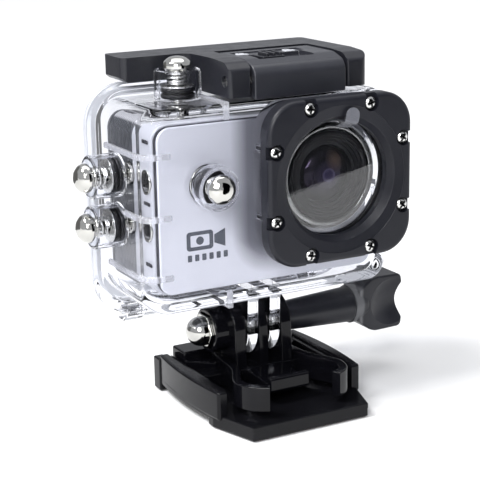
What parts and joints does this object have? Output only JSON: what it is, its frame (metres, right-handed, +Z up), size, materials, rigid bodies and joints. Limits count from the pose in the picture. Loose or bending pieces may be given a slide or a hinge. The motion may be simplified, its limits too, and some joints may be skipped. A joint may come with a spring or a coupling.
{
  "type": "action camera in a waterproof housing",
  "caption": "Small box camera in a clear waterproof housing, tilting in a quick-release buckle on a flat adhesive base.",
  "frame": {"origin": "centre of the adhesive pad's underside", "axes": "+Z up out of the adhesive face, the lens looks along -Y, the thumb screw's knob points along +X"},
  "size_m": [0.0883, 0.0521, 0.087],
  "materials": {
    "red_liner": "matte foam pad with a red release face",
    "base_black": "satin moulded polycarbonate",
    "buckle_black": "gloss moulded acetal",
    "chrome": "polished chrome plate",
    "steel": "turned stainless steel",
    "spring_steel": "drawn spring wire",
    "knob_black": "satin moulded nylon",
    "clear_case": "clear polished polycarbonate",
    "window_glass": "flat hardened glass",
    "film": "thin clear protective film",
    "rubber": "moulded silicone rubber",
    "gasket_grey": "pale silicone seal",
    "bezel_black": "fine satin moulded plastic",
    "latch_black": "fine satin moulded plastic",
    "camera_grey": "grey moulded plastic with fine ridges",
    "silver_panel": "satin silver paint with a faint lilac tone",
    "screen_black": "black display glass",
    "lens_black": "satin black anodised look",
    "lens_glass": "coated lens glass over a dark barrel",
    "circuit_board": "green solder resist",
    "battery_wrap": "printed film wrap"
  },
  "bodies": {
    "base": {"adhesive_pad": "red_liner", "adhesive_base": "base_black"},
    "buckle": {"buckle_body": "buckle_black", "cap_nut": "chrome"},
    "thumb_screw": {"thumb_screw_stud": "steel", "thumb_screw_knob": "knob_black"},
    "rear_door": {"rear_door": "clear_case", "door_gasket": "gasket_grey"},
    "latch_lever": {"latch_lever": "latch_black"},
    "latch_lock": {"latch_lock": "latch_black"},
    "shutter_plunger": {"shutter_plunger": "chrome"},
    "camera_shutter_button": {"camera_shutter_button": "chrome"},
    "power_plunger": {"power_plunger": "chrome"},
    "camera_power_button": {"camera_power_button": "chrome"},
    "up_plunger": {"up_plunger": "chrome"},
    "camera_up_button": {"camera_up_button": "chrome"},
    "down_plunger": {"down_plunger": "chrome"},
    "camera_down_button": {"camera_down_button": "chrome"},
    "housing": {"housing_shell": "clear_case", "lens_window": "window_glass", "lens_gasket": "rubber", "lens_bezel": "bezel_black", "protective_film": "film", "door_hinge_pin": "steel", "latch_hinge_block": "latch_black", "latch_pin": "steel", "camera_body": "camera_grey", "front_panel": "silver_panel", "camera_back": "camera_grey", "screen_panel": "screen_black", "battery_hatch": "camera_grey", "lens_trim_ring": "chrome", "lens_ring": "lens_black", "lens_element": "lens_glass", "lens_barrel": "lens_black", "sensor_board": "circuit_board", "main_board": "circuit_board", "battery": "battery_wrap", "memory_card": "lens_black", "bezel_screw_1": "steel", "bezel_screw_2": "steel", "bezel_screw_3": "steel", "bezel_screw_4": "steel", "bezel_screw_5": "steel", "bezel_screw_6": "steel", "bezel_screw_7": "steel", "bezel_screw_8": "steel", "shutter_spring": "spring_steel", "shutter_o_ring": "rubber", "power_spring": "spring_steel", "power_o_ring": "rubber", "up_spring": "spring_steel", "up_o_ring": "rubber", "down_spring": "spring_steel", "down_o_ring": "rubber"}
  },
  "joints": [
    {"name": "buckle_slide", "type": "slide", "parent": "base", "child": "buckle", "axis": [0, 1, 0], "range_m": [0, 0.05]},
    {"name": "thumb_screw_turn", "type": "hinge", "parent": "buckle", "child": "thumb_screw", "pos_m": [0.02, 0.007, 0.0185], "axis": [1, 0, 0], "continuous": true},
    {"name": "housing_tilt", "type": "hinge", "parent": "buckle", "child": "housing", "pos_m": [0, 0.007, 0.0185], "axis": [1, 0, 0], "range_deg": [-25, 50]},
    {"name": "rear_door_hinge", "type": "hinge", "parent": "housing", "child": "rear_door", "pos_m": [0, 0.026, 0.0212], "axis": [-1, 0, 0], "range_deg": [0, 100]},
    {"name": "latch_hinge", "type": "hinge", "parent": "housing", "child": "latch_lever", "pos_m": [0, -0.003, 0.0817], "axis": [1, 0, 0], "range_deg": [0, 95]},
    {"name": "latch_lock_slide", "type": "slide", "parent": "housing", "child": "latch_lock", "axis": [1, 0, 0], "range_m": [0, 0.003]},
    {"name": "shutter_press", "type": "slide", "parent": "housing", "child": "shutter_plunger", "axis": [0, 0, -1], "range_m": [0, 0.0012], "stiffness_N_per_m": 500, "springref_m": -0.001, "deforming": ["shutter_spring"]},
    {"name": "camera_shutter_press", "type": "slide", "parent": "housing", "child": "camera_shutter_button", "axis": [0, 0, -1], "range_m": [0, 0.0012]},
    {"name": "power_press", "type": "slide", "parent": "housing", "child": "power_plunger", "axis": [0, 1, 0], "range_m": [0, 0.0012], "stiffness_N_per_m": 500, "springref_m": -0.001, "deforming": ["power_spring"]},
    {"name": "camera_power_press", "type": "slide", "parent": "housing", "child": "camera_power_button", "axis": [0, 1, 0], "range_m": [0, 0.0012]},
    {"name": "up_press", "type": "slide", "parent": "housing", "child": "up_plunger", "axis": [1, 0, 0], "range_m": [0, 0.0012], "stiffness_N_per_m": 500, "springref_m": -0.001, "deforming": ["up_spring"]},
    {"name": "camera_up_press", "type": "slide", "parent": "housing", "child": "camera_up_button", "axis": [1, 0, 0], "range_m": [0, 0.0012]},
    {"name": "down_press", "type": "slide", "parent": "housing", "child": "down_plunger", "axis": [1, 0, 0], "range_m": [0, 0.0012], "stiffness_N_per_m": 500, "springref_m": -0.001, "deforming": ["down_spring"]},
    {"name": "camera_down_press", "type": "slide", "parent": "housing", "child": "camera_down_button", "axis": [1, 0, 0], "range_m": [0, 0.0012]}
  ],
  "couplings": [
    {"joint": "camera_shutter_press", "follows": "shutter_press", "ratio": 1},
    {"joint": "camera_power_press", "follows": "power_press", "ratio": 1},
    {"joint": "camera_up_press", "follows": "up_press", "ratio": 1},
    {"joint": "camera_down_press", "follows": "down_press", "ratio": 1}
  ]
}
